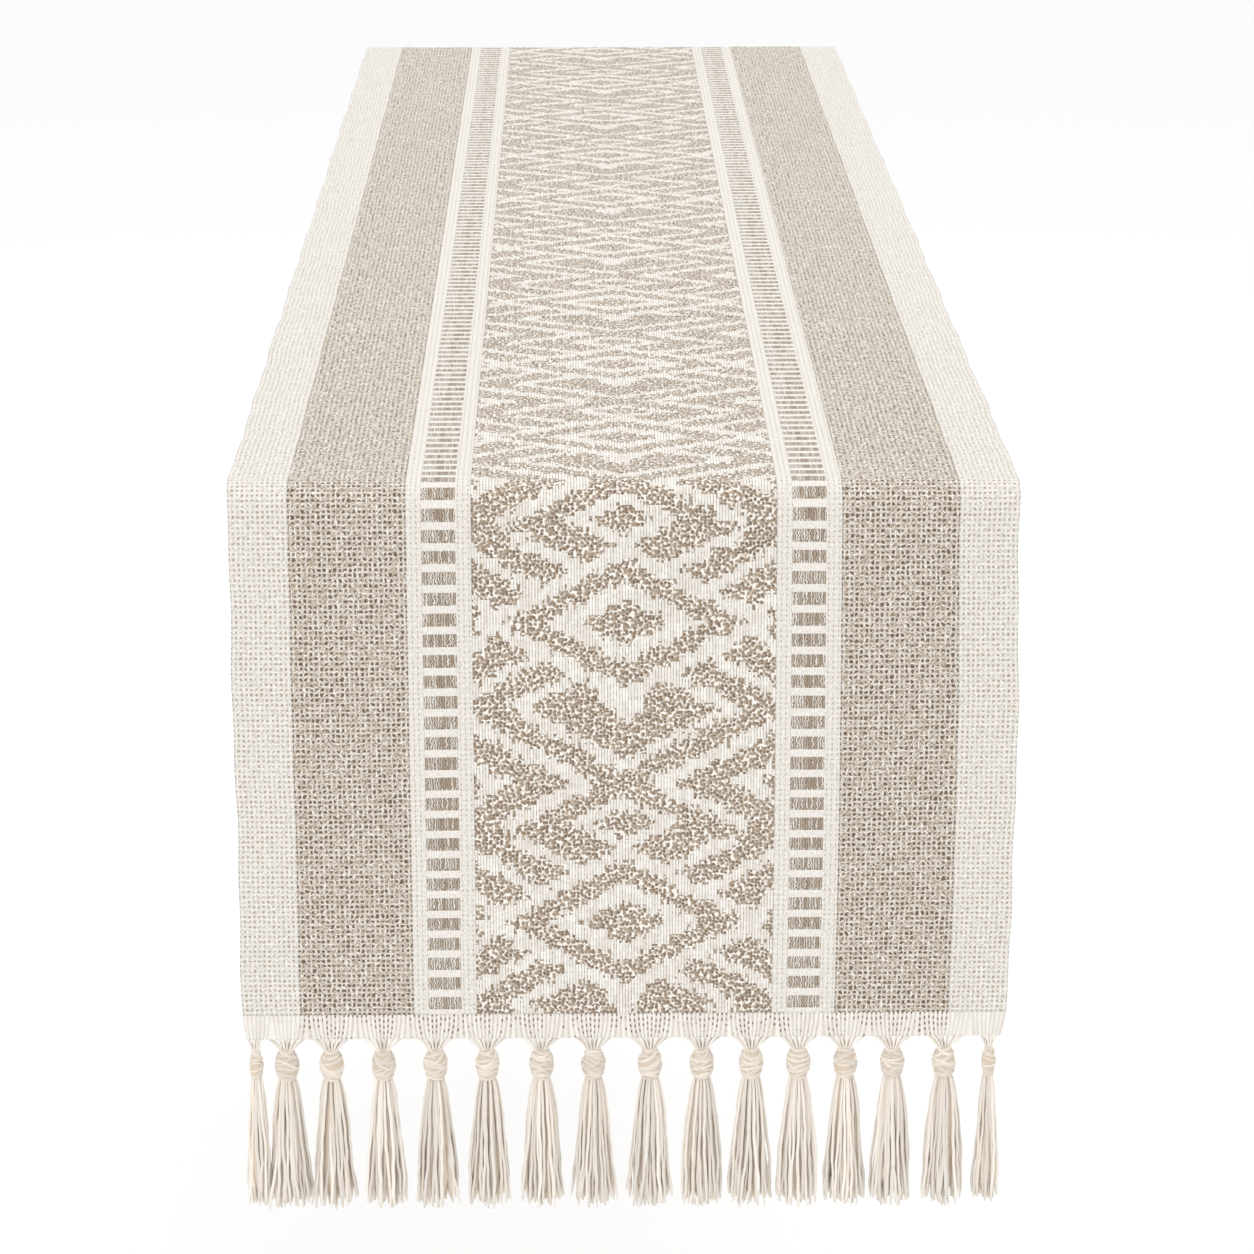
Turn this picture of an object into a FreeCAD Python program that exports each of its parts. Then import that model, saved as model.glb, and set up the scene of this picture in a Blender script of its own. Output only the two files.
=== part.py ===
"""A woven table runner draped over a table, with sixteen hand-tied tassels at each end.

The frame: Z = 0 is the table's surface, which the underside of the cloth lies on, and the origin is the
middle of it. The runner's length is along Y, the front end hangs at -Y and the width is along X. Millimetres.
"""
import FreeCAD, Part
import os

import Sketcher

# The driving dimensions. Each is a cell of the spreadsheet, and everything else follows from them.
SIZES = {
    "table_length": (1164.0, "flat stretch that lies on the table, between the two folds"),
    "drop_height": (247.0, "from the table's surface down to the lower edge of the heading"),
    "cloth_thickness": (1.6, "the woven cloth"),
    "edge_radius": (11.0, "rounding of the table's edge, the inside of the fold"),
    "centre_width": (127.6, "patterned centre panel"),
    "ladder_width": (27.2, "ladder band with its two rails"),
    "taupe_width": (49.0, "taupe band"),
    "border_width": (25.0, "cream border with the selvedge"),
    "heading_height": (10.6, "loosely woven heading at each end"),
    "heading_thickness": (2.0, "the heading, with its gathered threads"),
    "edge_inset": (5.1, "from the cloth's side edge to the axis of the outermost tassel"),
    "swing_gap": (0.3, "clearance between the heading and a tassel's cords as they swing"),
    "fan_gap": (3.0, "between the cords of two tassels where they leave the heading"),
    "thin_fan_gap": (1.5, "the same beside a thin end tassel"),
    "fan_height": (6.1, "from the hinge line to the wrap"),
    "fan_foot": (4.6, "width of the gathered cords at the wrap"),
    "wrap_height": (13.1, "wound head of a tassel"),
    "wrap_top_radius": (3.3, "upper end of the wound head"),
    "wrap_neck_radius": (2.5, "lower end of the wound head"),
    "wrap_curve": (11.9, "radius of the head's barrel profile"),
    "skirt_height": (57.2, "loose threads under the head"),
    "shoulder_radius": (5.2, "where the skirt has opened out"),
    "shoulder_drop": (10.9, "from the neck down to the shoulder"),
    "skirt_gap": (1.9, "between the skirts of two neighbours at their feet"),
    "thin_skirt_gap": (0.4, "the same beside a thin end tassel"),
    "thin_fan_foot": (2.8, "gathered cords of a thin tassel at its wrap"),
    "thin_top_radius": (1.9, "thin tassel, upper end of the head"),
    "thin_neck_radius": (1.4, "thin tassel, lower end of the head"),
    "thin_curve": (21.1, "thin tassel, radius of the head's profile"),
    "thin_shoulder": (2.6, "thin tassel, shoulder of the skirt"),
}

# The bands on each side of the centre panel, from the middle outwards, with the cell of their width.
SIDE_BANDS = (("ladder_band", "ladder_width"), ("taupe_band", "taupe_width"), ("cream_border", "border_width"))

# Where the tassels are tied, in pitches from the middle, so the outermost one sets the pitch. The first
# and the last are the thin ones.
TASSEL_PLACES = (-7.8, -7.15, -6.2, -5.1, -4.0, -2.9, -1.75, -0.65, 0.55, 1.65, 2.7, 3.7, 4.7, 5.7, 6.8, 7.75)
SPACINGS = [round(after - before, 3) for before, after in zip(TASSEL_PLACES, TASSEL_PLACES[1:])]

HALF_WIDTH = "(Sizes.centre_width / 2 + Sizes.ladder_width + Sizes.taupe_width + Sizes.border_width)"
PITCH = f"(({HALF_WIDTH} - Sizes.edge_inset) / {max(map(abs, TASSEL_PLACES))})"
HANG_FROM = "(Sizes.table_length / 2 + Sizes.edge_radius)"  # the inner face of a hanging end, along Y
DROP_MIDDLE = f"({HANG_FROM} + Sizes.cloth_thickness / 2)"
STRAIGHT_DROP = "(Sizes.drop_height - Sizes.edge_radius - Sizes.heading_height)"
CORD_RADIUS = "(Sizes.cloth_thickness / 2)"  # the rounded upper edge of the cords, about the hinge line
HINGE_Z = f"(-Sizes.drop_height - Sizes.swing_gap - {CORD_RADIUS})"

NEAREST = f"({min(SPACINGS[1:-1])} * {PITCH})"  # between the two full tassels that stand closest
THIN_NEAREST = f"({min(SPACINGS[0], SPACINGS[-1])} * {PITCH})"  # between a thin tassel and its neighbour
FAN_WIDTH = f"({NEAREST} - Sizes.fan_gap)"
THIN_FAN_WIDTH = f"(2 * ({THIN_NEAREST} - Sizes.thin_fan_gap) - {FAN_WIDTH})"
FOOT_RADIUS = f"(({NEAREST} - Sizes.skirt_gap) / 2)"
THIN_FOOT_RADIUS = f"({THIN_NEAREST} - Sizes.thin_skirt_gap - {FOOT_RADIUS})"

doc = FreeCAD.newDocument("TableRunner")
subparts = []


def make_sheet():
    """Fills the spreadsheet of driving dimensions."""
    sheet = doc.addObject("Spreadsheet::Sheet", "Sizes")
    for row, (alias, (value, note)) in enumerate(SIZES.items(), start=1):
        sheet.set(f"A{row}", note)
        sheet.set(f"B{row}", str(value))
        sheet.setAlias(f"B{row}", alias)
    doc.recompute()


def bind(thing, **expressions):
    """Binds properties to expressions. Two underscores in a name stand for a dot."""
    for name, expression in expressions.items():
        thing.setExpression(name.replace("__", "."), expression)


def keep(thing, label):
    """Names a finished sub-part, which is written out under that name."""
    thing.Label = label
    subparts.append(thing)


def slab(label, across, width, along, length, up, height):
    """A flat piece of cloth: each pair is where it starts and how far it goes."""
    box = doc.addObject("Part::Box", label)
    bind(box, Length=width, Width=length, Height=height)
    bind(box, Placement__Base__x=across, Placement__Base__y=along, Placement__Base__z=up)
    return box


def bands():
    """(name, where it starts across, its width) of each woven band, from the middle outwards."""
    yield "centre_panel", "-Sizes.centre_width / 2", "Sizes.centre_width"
    inner = "Sizes.centre_width / 2"
    for name, cell in SIDE_BANDS:
        width = f"Sizes.{cell}"
        yield f"{name}_left", f"-({inner} + {width})", width
        yield f"{name}_right", inner, width
        inner = f"{inner} + {width}"


def make_bands():
    """Each band in three stretches: on the table, and hanging at the front and at the back."""
    for name, across, width in bands():
        top = slab(f"{name}_top", across, width, "-Sizes.table_length / 2", "Sizes.table_length",
                   "0", "Sizes.cloth_thickness")
        keep(top, f"{name}_top")
        for end, along in ends("Sizes.cloth_thickness"):
            drop = slab(f"{name}_{end}", across, width, along, "Sizes.cloth_thickness",
                        f"-Sizes.edge_radius - {STRAIGHT_DROP}", STRAIGHT_DROP)
            keep(drop, f"{name}_{end}")


def ends(thickness):
    """(end, where a hanging piece of that thickness starts along Y), on the drop's middle plane."""
    yield "front", f"-{DROP_MIDDLE} - {thickness} / 2"
    yield "back", f"{DROP_MIDDLE} - {thickness} / 2"


def origin_plane(body, role):
    """One of a body's own origin planes."""
    return next(feature for feature in body.Origin.OriginFeatures if feature.Role == role)


def outline(body, name, role, corners, bulge=None):
    """A closed sketch through corners, pairs of (value, expression) for each coordinate that isn't zero.

    bulge is (corner number, radius, expression): the side from that corner is an arc that bows outwards.
    """
    sketch = body.newObject("Sketcher::SketchObject", name)
    sketch.AttachmentSupport = [(origin_plane(body, role), "")]
    sketch.MapMode = "FlatFace"
    points = [FreeCAD.Vector(x[0], y[0], 0) for x, y in corners]
    count = len(points)
    for i, start in enumerate(points):
        end = points[(i + 1) % count]
        if bulge and bulge[0] == i:
            chord = end - start
            outwards = FreeCAD.Vector(-chord.y, chord.x, 0).normalize()
            half = chord.Length / 2
            rise = bulge[1] - (bulge[1] ** 2 - half ** 2) ** 0.5
            sketch.addGeometry(Part.Arc(start, (start + end) / 2 + outwards * rise, end), False)
        else:
            sketch.addGeometry(Part.LineSegment(start, end), False)
    starts = [2 if bulge and bulge[0] == i else 1 for i in range(count)]  # a clockwise arc is stored reversed
    for i in range(count):
        sketch.addConstraint(Sketcher.Constraint(
            "Coincident", i, 3 - starts[i], (i + 1) % count, starts[(i + 1) % count]))
    for i, pair in enumerate(corners):
        for kind, (value, expression) in zip(("DistanceX", "DistanceY"), pair):
            if expression is None:
                on_axis = -2 if kind == "DistanceX" else -1
                sketch.addConstraint(Sketcher.Constraint("PointOnObject", i, starts[i], on_axis))
            else:
                at = sketch.addConstraint(Sketcher.Constraint(kind, -1, 1, i, starts[i], value))
                sketch.setExpression(f"Constraints[{at}]", expression)
    if bulge:
        at = sketch.addConstraint(Sketcher.Constraint("Radius", bulge[0], bulge[1]))
        sketch.setExpression(f"Constraints[{at}]", bulge[2])
    doc.recompute()
    return sketch


def value_of(expression):
    """The number that an expression gives with the sheet as it is."""
    return float(doc.Sizes.evalExpression(expression.replace("Sizes.", "")))


def at(expression):
    """A coordinate for outline: its value and its expression."""
    return (value_of(expression), expression)


ZERO = (0.0, None)


def fold_strip(name, across, width):
    """The quarter turn of one band over the front edge of the table, padded across the band's width."""
    body = doc.addObject("PartDesign::Body", name)
    sketch = body.newObject("Sketcher::SketchObject", f"{name}_section")
    sketch.AttachmentSupport = [(origin_plane(body, "YZ_Plane"), "")]
    sketch.MapMode = "FlatFace"
    inner, outer = value_of("Sizes.edge_radius"), value_of("Sizes.edge_radius + Sizes.cloth_thickness")
    centre = FreeCAD.Vector(0, -inner, 0)
    up, out = FreeCAD.Vector(0, 1, 0), FreeCAD.Vector(-1, 0, 0)
    slant = (up + out).normalize()
    for radius in (inner, outer):
        sketch.addGeometry(Part.Arc(centre + up * radius, centre + slant * radius, centre + out * radius), False)
    sketch.addGeometry(Part.LineSegment(centre + up * inner, centre + up * outer), False)
    sketch.addGeometry(Part.LineSegment(centre + out * inner, centre + out * outer), False)
    for constraint in (
        ("Coincident", 0, 3, 1, 3),
        ("PointOnObject", 0, 3, -2),
        ("Coincident", 2, 1, 0, 1),
        ("Coincident", 2, 2, 1, 1),
        ("Coincident", 3, 1, 0, 2),
        ("Coincident", 3, 2, 1, 2),
        ("Vertical", 2),
        ("Horizontal", 3),
        ("PointOnObject", 0, 1, -2),
        ("Horizontal", 0, 2, 0, 3),
        ("PointOnObject", 0, 1, -1),
    ):
        sketch.addConstraint(Sketcher.Constraint(*constraint))
    for arc, expression in ((0, "Sizes.edge_radius"), (1, "Sizes.edge_radius + Sizes.cloth_thickness")):
        number = sketch.addConstraint(Sketcher.Constraint("Radius", arc, value_of(expression)))
        sketch.setExpression(f"Constraints[{number}]", expression)
    pad = body.newObject("PartDesign::Pad", f"{name}_pad")
    pad.Profile = sketch
    bind(pad, Length=width)
    bind(body, Placement__Base__x=across)
    return body


def make_folds():
    """The seven bands where they turn over the table's edge. The back fold is the front one, turned round."""
    strips = [fold_strip(f"fold_{name}", across, width) for name, across, width in bands()]
    for end, sign, angle in (("front", "-", 0), ("back", "", 180)):
        fold = doc.addObject("Part::Compound", f"{end}_fold")
        fold.Links = strips
        fold.Placement.Rotation = FreeCAD.Rotation(FreeCAD.Vector(0, 0, 1), angle)
        bind(fold, Placement__Base__y=f"{sign}Sizes.table_length / 2")
        keep(fold, f"{end}_fold")


def make_headings():
    """The heading under the bands, across the whole width."""
    for end, along in ends("Sizes.heading_thickness"):
        heading = slab(f"{end}_heading", f"-{HALF_WIDTH}", f"2 * {HALF_WIDTH}", along,
                       "Sizes.heading_thickness", "-Sizes.drop_height", "Sizes.heading_height")
        keep(heading, f"{end}_heading")


def cord_fan(name, width, foot):
    """The cords from the heading down to the wrap, gathered as a fan, with a round upper edge on the hinge line."""
    body = doc.addObject("PartDesign::Body", name)
    corners = (
        (at(f"-{width} / 2"), ZERO),
        (at(f"{width} / 2"), ZERO),
        (at(f"{foot} / 2"), at("-Sizes.fan_height")),
        (at(f"-{foot} / 2"), at("-Sizes.fan_height")),
    )
    pad = body.newObject("PartDesign::Pad", f"{name}_pad")
    pad.Profile = outline(body, f"{name}_outline", "XZ_Plane", corners)
    pad.Midplane = True
    bind(pad, Length="Sizes.cloth_thickness")
    edge = body.newObject("PartDesign::AdditiveCylinder", f"{name}_edge")
    edge.AttachmentSupport = [(origin_plane(body, "YZ_Plane"), "")]
    edge.MapMode = "FlatFace"
    bind(edge, Radius=CORD_RADIUS, Height=width, AttachmentOffset__Base__z=f"-{width} / 2")
    return body


def turned(name, corners, bulge=None):
    """A solid of revolution about the tassel's own axis."""
    body = doc.addObject("PartDesign::Body", name)
    sketch = outline(body, f"{name}_profile", "XZ_Plane", corners, bulge)
    revolution = body.newObject("PartDesign::Revolution", f"{name}_turn")
    revolution.Profile = sketch
    revolution.ReferenceAxis = (sketch, ["V_Axis"])
    revolution.Angle = 360
    return body


def tassel_pieces(kind, fan, foot, top, neck, curve, shoulder, skirt_foot):
    """The three solids of a tassel, from the hinge line down: cords, wound head and skirt."""
    wrap_top = "-Sizes.fan_height"
    wrap_end = f"({wrap_top} - Sizes.wrap_height)"
    wrap = (
        (ZERO, at(wrap_end)),
        (at(neck), at(wrap_end)),
        (at(top), at(wrap_top)),
        (ZERO, at(wrap_top)),
    )
    skirt = (
        (ZERO, at(f"{wrap_end} - Sizes.skirt_height")),
        (at(skirt_foot), at(f"{wrap_end} - Sizes.skirt_height")),
        (at(shoulder), at(f"{wrap_end} - Sizes.shoulder_drop")),
        (at(neck), at(wrap_end)),
        (ZERO, at(wrap_end)),
    )
    return [
        cord_fan(f"{kind}_cords", fan, foot),
        turned(f"{kind}_wrap", wrap, (1, value_of(curve), curve)),
        turned(f"{kind}_skirt", skirt),
    ]


def make_tassels():
    """Sixteen tassels at each end. The first and the last are thin, and all hang from the hinge line."""
    full = tassel_pieces("full", FAN_WIDTH, "Sizes.fan_foot", "Sizes.wrap_top_radius",
                         "Sizes.wrap_neck_radius", "Sizes.wrap_curve", "Sizes.shoulder_radius", FOOT_RADIUS)
    thin = tassel_pieces("thin", THIN_FAN_WIDTH, "Sizes.thin_fan_foot", "Sizes.thin_top_radius",
                         "Sizes.thin_neck_radius", "Sizes.thin_curve", "Sizes.thin_shoulder", THIN_FOOT_RADIUS)
    last = len(TASSEL_PLACES)
    for end, sign in (("front", "-"), ("back", "")):
        for number, place in enumerate(TASSEL_PLACES, start=1):
            tassel = doc.addObject("Part::Compound", f"{end}_tassel_{number:02d}")
            tassel.Links = thin if number in (1, last) else full
            bind(tassel, Placement__Base__x=f"{place} * {PITCH}",
                 Placement__Base__y=f"{sign}{DROP_MIDDLE}", Placement__Base__z=HINGE_Z)
            keep(tassel, f"{end}_tassel_{number:02d}")


def check_and_write():
    """Stops at an object that failed, then writes each sub-part to its own file."""
    doc.recompute()
    for thing in doc.Objects:
        if {"Invalid", "Error"} & set(thing.State):
            raise RuntimeError(f"{thing.Name} failed: {thing.State}")
    os.makedirs("parts", exist_ok=True)
    for thing in subparts:
        shape = thing.Shape
        if shape.isNull() or not shape.isValid() or not shape.Solids:
            raise RuntimeError(f"{thing.Label} has no valid solid")
        shape.exportStep(f"parts/{thing.Label}.step")
    print(f"{len(subparts)} sub-parts, {sum(len(thing.Shape.Solids) for thing in subparts)} solids")


make_sheet()
make_bands()
make_folds()
make_headings()
make_tassels()
check_and_write()
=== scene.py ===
"""The looks of a woven table runner that hangs over both ends of a table, with tassels tied at each end."""

import math

import bpy
import numpy as np
from bpy.props import FloatProperty, FloatVectorProperty, IntProperty, PointerProperty
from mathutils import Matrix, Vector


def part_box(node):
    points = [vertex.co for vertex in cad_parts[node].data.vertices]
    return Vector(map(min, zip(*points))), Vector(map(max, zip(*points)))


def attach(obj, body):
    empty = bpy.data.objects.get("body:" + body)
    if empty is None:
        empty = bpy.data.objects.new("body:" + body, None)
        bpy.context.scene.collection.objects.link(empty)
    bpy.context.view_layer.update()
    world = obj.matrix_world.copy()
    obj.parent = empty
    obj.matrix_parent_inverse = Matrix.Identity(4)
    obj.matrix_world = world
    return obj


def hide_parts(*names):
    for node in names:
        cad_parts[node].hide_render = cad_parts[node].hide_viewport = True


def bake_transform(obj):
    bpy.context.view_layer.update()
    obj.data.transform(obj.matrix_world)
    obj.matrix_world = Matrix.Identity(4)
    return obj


bl_info = {
    "name": "Tasselled Table Runner",
    "version": (1, 0, 0),
    "blender": (4, 5, 0),
    "location": "View3D > Sidebar > Runner",
    "description": "Weaves the cloth of a table runner and ties its tassels",
    "category": "Add Mesh",
}

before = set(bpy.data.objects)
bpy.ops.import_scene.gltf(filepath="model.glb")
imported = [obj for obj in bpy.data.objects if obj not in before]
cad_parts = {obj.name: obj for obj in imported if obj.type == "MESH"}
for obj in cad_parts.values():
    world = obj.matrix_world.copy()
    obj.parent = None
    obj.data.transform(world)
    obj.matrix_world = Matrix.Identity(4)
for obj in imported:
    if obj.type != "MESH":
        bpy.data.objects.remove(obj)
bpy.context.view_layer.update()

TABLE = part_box("centre_panel_top")
FRONT_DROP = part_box("centre_panel_front")
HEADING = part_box("front_heading")
EDGE_RADIUS = -FRONT_DROP[1].z
THICKNESS = TABLE[1].z
HALF_TABLE = TABLE[1].y
TURN_RADIUS = EDGE_RADIUS + THICKNESS / 2
TURN = math.pi / 2 * TURN_RADIUS
HALF_LENGTH = HALF_TABLE + TURN - HEADING[0].z - EDGE_RADIUS
MM = 0.001
HALF_WIDTH = round(HEADING[1].x / MM, 3)  # in millimetres, as the waves of the cloth are

# The weave is counted in picks, two to a crossing, from the cloth's front end to its back end. The first
# and the last HEADING_PICKS are the headings, and each band is cut END_PICKS from either end.
WANTED_PICK = 0.0011409
PICKS = 2 * round(HALF_LENGTH / WANTED_PICK)
PICK = 2 * HALF_LENGTH / PICKS
HEADING_PICKS = 10
END_PICKS = 490
TABLE_FROM = math.ceil((HALF_LENGTH - HALF_TABLE) / PICK)

# How much of its width a strip of the bake's map fills.
STRIP_FILL = 0.985

# Each band's number of faces across the mesh, two to a thread, and its weave.
BANDS = {
    "centre_panel": (202, "jacquard"),
    "ladder_band_left": (50, "ladder"),
    "ladder_band_right": (50, "ladder"),
    "taupe_band_left": (46, "taupe"),
    "taupe_band_right": (46, "taupe"),
    "cream_border_left": (24, "cream"),
    "cream_border_right": (24, "cream"),
}


# The width of one cream rail, as a share of its ladder band.
RAIL_SHARE = 6.6 / 27.2


# ---- sizes and colours that a user would change --------------------------------------------------------


def length(name, description, default):
    return FloatProperty(name=name, description=description, default=default, unit="LENGTH")


def yarn_colour(name, description, default):
    return FloatVectorProperty(name=name, description=description, default=default, subtype="COLOR", size=3,
                               min=0, max=1)


class RunnerWeave(bpy.types.PropertyGroup):
    """The relief and the repeat of the weave."""
    repeat: IntProperty(name="Pattern repeat", description="Crossings from one big diamond to the next",
                        default=59, min=20)
    first_diamond: FloatProperty(name="First diamond", default=23.5,
                                 description="Crossings from the cloth's end to its first diamond's middle")
    float_height: length("Float height", "How far the cream warp floats stand over the taupe ground", 0.00032)
    ground_height: length("Ground height", "The taupe ground above the underside", 0.0011)
    hole_depth: length("Hole depth", "How far a hole of the plain weave sinks", 0.00045)
    rung_pitch: IntProperty(name="Rung pitch", description="Picks from one ladder rung to the next",
                            default=8)
    wobble: length("Wobble", "How far the hanging cloth waves out of its plane", 0.0013)


class RunnerYarn(bpy.types.PropertyGroup):
    """The yarn colours."""
    cream: yarn_colour("Cream", "Undyed warp", (0.765, 0.722, 0.660))
    # Bright cream is partly a paler yarn and partly painted highlight on the tops of the floats and rungs.
    bright: yarn_colour("Bright cream", "Tops of the floats and rungs", (0.915, 0.885, 0.835))
    taupe: yarn_colour("Taupe", "Dyed weft", (0.490, 0.395, 0.298))
    dark: yarn_colour("Dark", "Shaded yarn in the holes", (0.175, 0.126, 0.085))
    tassel: yarn_colour("Tassel", "Loose yarn of the tassels", (0.86, 0.812, 0.742))
    wrap: yarn_colour("Wrap", "Wound yarn of the tassel heads", (0.79, 0.722, 0.640))


class RunnerTassels(bpy.types.PropertyGroup):
    """The tassels."""
    strands: IntProperty(name="Strands", description="Loose yarns in a full tassel", default=72, min=6)
    strand_radius: length("Strand radius", "Half of a yarn's thickness", 0.00070)
    cords: IntProperty(name="Cords", description="Warp cords gathered in a full tassel", default=12, min=3)
    windings: IntProperty(name="Windings", description="Turns of yarn round a full tassel's head",
                          default=14, min=3)


class RunnerStage(bpy.types.PropertyGroup):
    """The studio."""
    lens: FloatProperty(name="Lens", description="Focal length in millimetres", default=110.8)
    distance: length("Distance", "From the camera to the hanging front end", 1.547)
    height: length("Height", "Of the camera over the table's surface", 0.423)
    aside: length("Aside", "Camera's place across the runner", -0.0212)
    tilt: FloatProperty(name="Tilt", description="Camera's downward tilt", default=math.radians(17.35),
                        subtype="ANGLE")
    pan: FloatProperty(name="Pan", description="Camera's turn towards +X", default=math.radians(0.832),
                       subtype="ANGLE")
    floor: length("Floor", "Height of the floor under the table's surface", 0.74)


GROUPS = {"runner_weave": RunnerWeave, "runner_yarn": RunnerYarn, "runner_tassels": RunnerTassels,
          "runner_stage": RunnerStage}


# ---- shader maths --------------------------------------------------------------------------------------


class Value:
    """A number that varies over a surface: arithmetic on values adds Math nodes."""

    def __init__(self, tree, socket):
        self.tree, self.socket = tree, socket

    def node(self, kind, settings=None, **sockets):
        """Adds any node. Settings come first, then the values or links of its sockets."""
        made = self.tree.nodes.new(kind)
        for name, value in (settings or {}).items():
            setattr(made, name, value)
        for name, value in sockets.items():
            key = int(name[1:]) if name[0] == "i" and name[1:].isdigit() else name.replace("_", " ")
            if isinstance(value, Value):
                self.tree.links.new(value.socket, made.inputs[key])
            else:
                made.inputs[key].default_value = value
        return made

    def out(self, kind, output, settings=None, **sockets):
        """The named output of a new node, as a value."""
        return Value(self.tree, self.node(kind, settings, **sockets).outputs[output])

    def maths(self, operation, *others):
        sockets = {f"i{n}": other for n, other in enumerate(others, start=1)}
        return self.out("ShaderNodeMath", "Value", {"operation": operation}, i0=self, **sockets)

    def __add__(self, other):
        return self.maths("ADD", other)

    def __sub__(self, other):
        return self.maths("SUBTRACT", other)

    def __rsub__(self, other):
        return (self * -1.0) + other

    def __mul__(self, other):
        return self.maths("MULTIPLY", other)

    def __abs__(self):
        return self.maths("ABSOLUTE")

    __radd__, __rmul__ = __add__, __mul__

    def floor(self):
        return self.maths("FLOOR")

    def fraction(self):
        return self.maths("FRACT")

    def most(self, other):
        return self.maths("MAXIMUM", other)

    def smooth(self, low, high):
        """0 below low, 1 above high, and eased between. A low above high turns it round."""
        return self.out("ShaderNodeMapRange", "Result", {"interpolation_type": "SMOOTHSTEP"},
                        Value=self, i1=low, i2=high, i3=0.0, i4=1.0)


def mix(share, one, other):
    """A colour between two, each a value or a tuple of three."""
    rgba = [c if isinstance(c, Value) else (*c, 1.0) for c in (one, other)]
    return share.out("ShaderNodeMix", 2, {"data_type": "RGBA"}, i0=share, i6=rgba[0], i7=rgba[1])


def toned(colour, share):
    """A colour made darker or lighter, its parts kept to 1."""
    return tuple(min(1.0, part * share) for part in colour)


def hypotenuse(one, other):
    return (one.maths("POWER", 2.0) + other.maths("POWER", 2.0)).maths("SQRT")


def cloth_material(name, paint, roughness=0.9):
    """A yarn material. paint(start) gives (colour, height) from a value to start from."""
    material = bpy.data.materials.new(name)
    material.use_nodes = True
    tree = material.node_tree
    shader = tree.nodes["Principled BSDF"]
    shader.inputs["Roughness"].default_value = roughness
    shader.inputs["Sheen Weight"].default_value = 0.15
    shader.inputs["Sheen Roughness"].default_value = 0.6
    shader.inputs["Specular IOR Level"].default_value = 0.25
    colour, height = paint(Value(tree, None))
    tree.links.new(colour.socket, shader.inputs["Base Color"])
    if height is not None:
        bump = height.node("ShaderNodeBump", Height=height, Strength=0.6, Distance=0.0004)
        tree.links.new(bump.outputs["Normal"], shader.inputs["Normal"])
    return material


def weave_axes(start):
    """Threads across and crossings along, from the piece's own map."""
    weave = start.out("ShaderNodeUVMap", "UV", {"uv_map": "Weave"})
    split = start.node("ShaderNodeSeparateXYZ", Vector=weave)
    return weave, Value(start.tree, split.outputs["X"]), Value(start.tree, split.outputs["Y"])


def attribute(start, name):
    return start.out("ShaderNodeAttribute", "Fac", {"attribute_name": name})


def noise(start, vector, scale, detail=2.0):
    """Noise from 0 to 1 about 0.5 over a vector in threads and crossings."""
    return start.out("ShaderNodeTexNoise", "Fac", {"noise_dimensions": "2D"},
                     Vector=vector, Scale=scale, Detail=detail, Roughness=0.55)


def thread_tone(start, across, along, seed):
    """A tone of its own for each cell of a lattice, from 0 to 1."""
    cell = start.out("ShaderNodeCombineXYZ", "Vector", X=across.floor() + seed, Y=along.floor())
    return start.out("ShaderNodeTexWhiteNoise", "Value", {"noise_dimensions": "2D"}, Vector=cell)


def moved(start, weave, amount, scale):
    """The map pushed about a little, as hand-beaten yarn lies."""
    push = start.out("ShaderNodeTexNoise", "Color", {"noise_dimensions": "2D"},
                     Vector=weave, Scale=scale, Detail=1.0)
    centred = start.out("ShaderNodeVectorMath", "Vector", {"operation": "SUBTRACT"},
                        i0=push, i1=(0.5, 0.5, 0.5))
    scaled = start.out("ShaderNodeVectorMath", "Vector", {"operation": "SCALE"}, i0=centred, Scale=amount)
    shifted = start.out("ShaderNodeVectorMath", "Vector", {"operation": "ADD"}, i0=weave, i1=scaled)
    split = start.node("ShaderNodeSeparateXYZ", Vector=shifted)
    return shifted, Value(start.tree, split.outputs["X"]), Value(start.tree, split.outputs["Y"])


def plain_weave(start, ground, hole, line, hole_size, loose):
    """Open plain weave: shaded holes with pale curled rims, and pale threads crossing between them.

    hole_size is half a hole's width in threads, and loose how far the threads stray.
    """
    weave = weave_axes(start)[0]
    weave, across, along = moved(start, weave, loose, 0.95)
    hx = abs(across.fraction() - 0.5)
    hy = abs(along.fraction() - 0.5)
    tone = thread_tone(start, across + 0.5, along + 0.5, 3.0)
    grain = noise(start, weave, 2.3, 3.0)
    curl = noise(start, weave, 1.15, 1.0)
    outside = hypotenuse(0.5 - hx, 0.5 - hy) - hole_size * (tone * 0.6 + 0.68)
    hole_mask = outside.smooth(0.05, -0.04)
    rim = outside.smooth(0.03, 0.08) * outside.smooth(0.19, 0.12) * curl.smooth(0.40, 0.49)
    warp_line = hx.smooth(0.13, 0.05) * noise(start, weave, 0.8, 1.0).smooth(0.38, 0.52)
    weft_line = hy.smooth(0.13, 0.05) * curl.smooth(0.60, 0.50)
    pale = rim.most(warp_line).most(weft_line)
    base = mix(grain.smooth(0.3, 0.7), toned(ground, 0.72), toned(ground, 1.12))
    lined = mix(pale * grain.smooth(0.18, 0.46) * 0.92, base, line)
    deep = mix(tone.smooth(0.0, 0.62), toned(ground, 0.66), hole)
    shaded = mix(hole_mask, lined, deep)
    return shaded, 1.0 - hole_mask + pale * 0.5 + grain * 0.35


def paint_taupe(yarn):
    def paint(start):
        return plain_weave(start, toned(yarn.taupe, 0.99), toned(yarn.dark, 1.02), yarn.bright, 0.25, 0.72)
    return paint


def paint_cream(yarn):
    def paint(start):
        return plain_weave(start, toned(yarn.cream, 0.99), toned(yarn.taupe, 0.88), yarn.bright, 0.19, 0.30)
    return paint


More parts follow.
